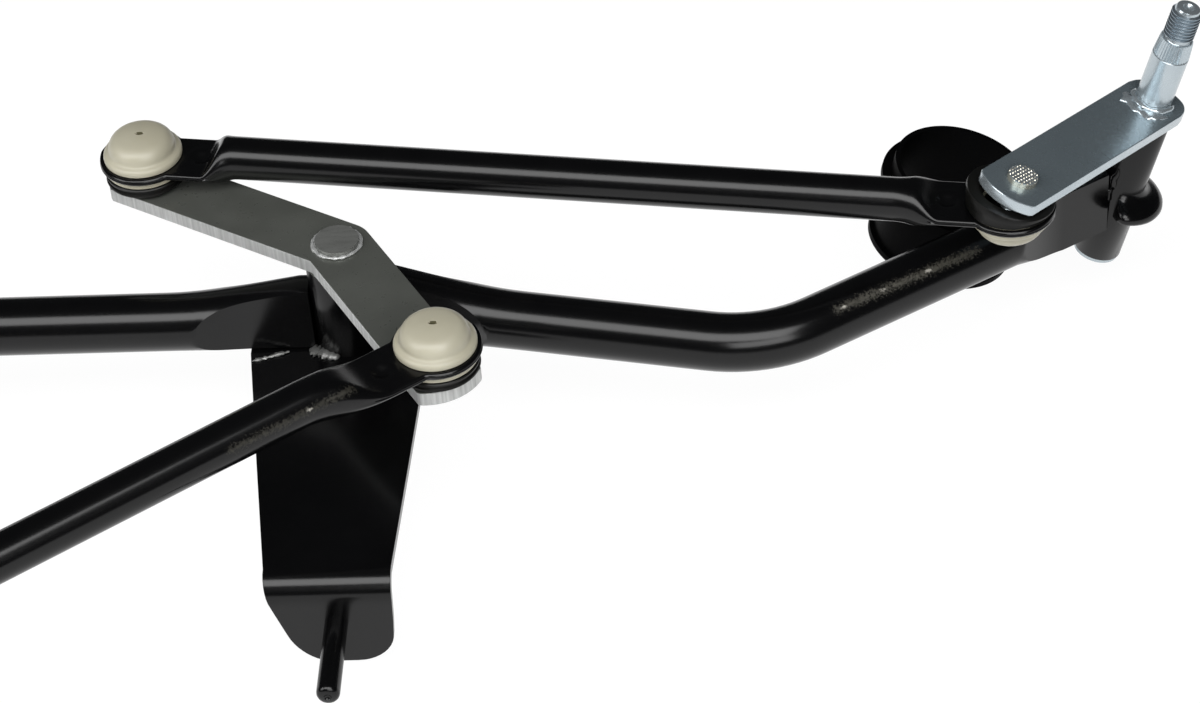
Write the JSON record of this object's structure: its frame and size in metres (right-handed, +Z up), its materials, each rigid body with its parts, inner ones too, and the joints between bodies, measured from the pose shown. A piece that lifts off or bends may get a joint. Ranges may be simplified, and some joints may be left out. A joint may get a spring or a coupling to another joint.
{
  "type": "windscreen wiper linkage",
  "caption": "Tubular wiper linkage with a middle bellcrank, ball-jointed tube links, outward-tilted wiper shafts and a bracket with a locating pin.",
  "frame": {"origin": "root of the locating pin, on its axis at the front face of the bracket foot", "axes": "+X along the frame to the right wiper pivot, +Y to the rear away from the locating pin's tip, +Z up along the bellcrank's pivot"},
  "size_m": [0.6996, 0.3074, 0.1155],
  "materials": {
    "black_paint": "satin gloss black paint",
    "dull_zinc": "dull zinc plate",
    "bright_zinc": "bright bluish zinc plate",
    "nylon": "natural cream nylon",
    "rubber": "black moulded rubber",
    "bronze": "sintered bronze"
  },
  "bodies": {
    "frame": {"right_frame_tube": "black_paint", "left_frame_tube": "black_paint", "center_bracket": "black_paint", "locating_pin": "black_paint", "center_pivot_housing": "black_paint", "center_upper_bush": "bronze", "center_lower_bush": "bronze", "right_pivot_housing": "black_paint", "right_housing_lip": "black_paint", "right_upper_bush": "bronze", "right_lower_bush": "bronze", "right_mount_collar": "black_paint", "left_pivot_housing": "black_paint", "left_housing_lip": "black_paint", "left_upper_bush": "bronze", "left_lower_bush": "bronze", "left_mount_collar": "black_paint"},
    "bellcrank": {"bellcrank_plate": "dull_zinc", "center_pivot_pin": "dull_zinc", "center_thrust_washer": "dull_zinc", "center_retaining_clip": "dull_zinc", "bellcrank_right_stud": "dull_zinc", "bellcrank_drive_stud": "dull_zinc"},
    "right_link": {"right_link_tube": "black_paint", "right_link_inner_socket": "nylon", "right_link_inner_seal": "rubber", "right_link_outer_socket": "nylon", "right_link_outer_seal": "rubber"},
    "right_crank": {"right_crank_arm": "bright_zinc", "right_pivot_shaft": "bright_zinc", "right_crank_stud": "bright_zinc", "right_thrust_washer": "bright_zinc", "right_retaining_clip": "bright_zinc"},
    "drive_link": {"drive_link_tube": "black_paint", "drive_link_inner_socket": "nylon", "drive_link_inner_seal": "rubber", "drive_link_motor_socket": "nylon", "drive_link_motor_seal": "rubber"},
    "left_crank": {"left_crank_arm": "bright_zinc", "left_pivot_shaft": "bright_zinc", "left_crank_stud": "bright_zinc", "left_thrust_washer": "bright_zinc", "left_retaining_clip": "bright_zinc"},
    "left_link": {"left_link_tube": "black_paint", "left_link_outer_socket": "nylon", "left_link_outer_seal": "rubber", "left_link_motor_socket": "nylon", "left_link_motor_seal": "rubber"}
  },
  "joints": [
    {"name": "bellcrank_swing", "type": "hinge", "parent": "frame", "child": "bellcrank", "pos_m": [-0.0032, 0.114, 0.0555], "axis": [0, 0, 1], "range_deg": [-42, 8]},
    {"name": "right_link_turn", "type": "hinge", "parent": "bellcrank", "child": "right_link", "pos_m": [-0.0688, 0.15157, 0.0655], "axis": [-0.0566, 0.0446, 0.9974], "range_deg": [-6.11, 31.21]},
    {"name": "right_crank_swing", "type": "hinge", "parent": "frame", "child": "right_crank", "pos_m": [0.25835, 0.1663, 0.06224], "axis": [0.2588, 0, 0.9659], "range_deg": [-5.13, 26.06]},
    {"name": "drive_link_turn", "type": "hinge", "parent": "bellcrank", "child": "drive_link", "pos_m": [0.03296, 0.05383, 0.0655], "axis": [0, 0, 1], "range_deg": [-8.2, 42.2]},
    {"name": "left_crank_swing", "type": "hinge", "parent": "frame", "child": "left_crank", "pos_m": [-0.41275, 0.1663, 0.06224], "axis": [-0.2588, 0, 0.9659], "range_deg": [-3.57, 17.89]},
    {"name": "left_link_turn", "type": "hinge", "parent": "left_crank", "child": "left_link", "pos_m": [-0.34396, 0.14167, 0.06691], "axis": [-0.185, 0.0357, 0.9821], "range_deg": [-30.41, 5.95]}
  ],
  "couplings": [
    {"joint": "right_link_turn", "follows": "bellcrank_swing", "ratio": -0.7384},
    {"joint": "right_crank_swing", "follows": "bellcrank_swing", "ratio": -0.6157},
    {"joint": "drive_link_turn", "follows": "bellcrank_swing", "ratio": -1},
    {"joint": "left_crank_swing", "follows": "bellcrank_swing", "ratio": -0.4213},
    {"joint": "left_link_turn", "follows": "bellcrank_swing", "ratio": 0.7192}
  ]
}
